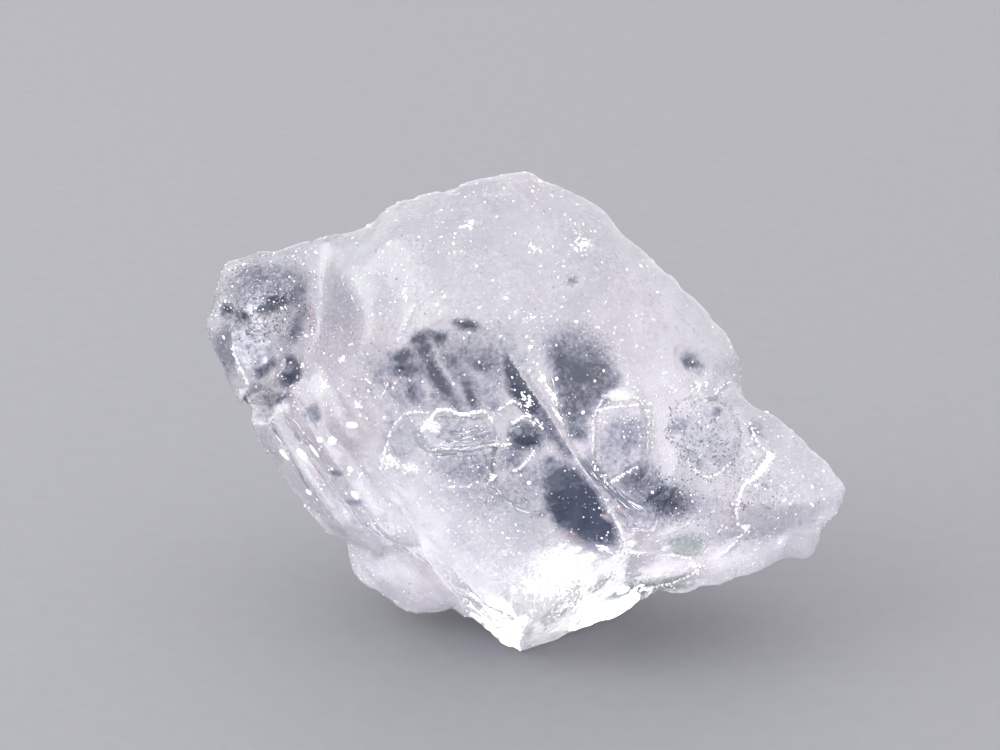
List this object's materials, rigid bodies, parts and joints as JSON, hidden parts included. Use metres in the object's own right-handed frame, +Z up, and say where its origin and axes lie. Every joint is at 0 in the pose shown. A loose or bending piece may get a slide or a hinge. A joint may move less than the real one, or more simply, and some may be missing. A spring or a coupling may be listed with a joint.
{
  "type": "phenakite crystal",
  "caption": "Loose, clear to milky phenakite crystal, an irregular wedge with a thin blade, a spur and small crystals seated on its front, resting on its flat broken base.",
  "frame": {"origin": "middle of the bounding box, at the level of the flat base that the crystal rests on", "axes": "+Z up, +X from the thin blade towards the spur, +Y from the front face towards the back"},
  "size_m": [0.0152, 0.0092, 0.011],
  "materials": {
    "phenakite": "glossy, etched and finely pitted, clear with milky veils inside"
  },
  "bodies": {
    "root": {"phenakite_crystal": "phenakite"}
  },
  "joints": []
}
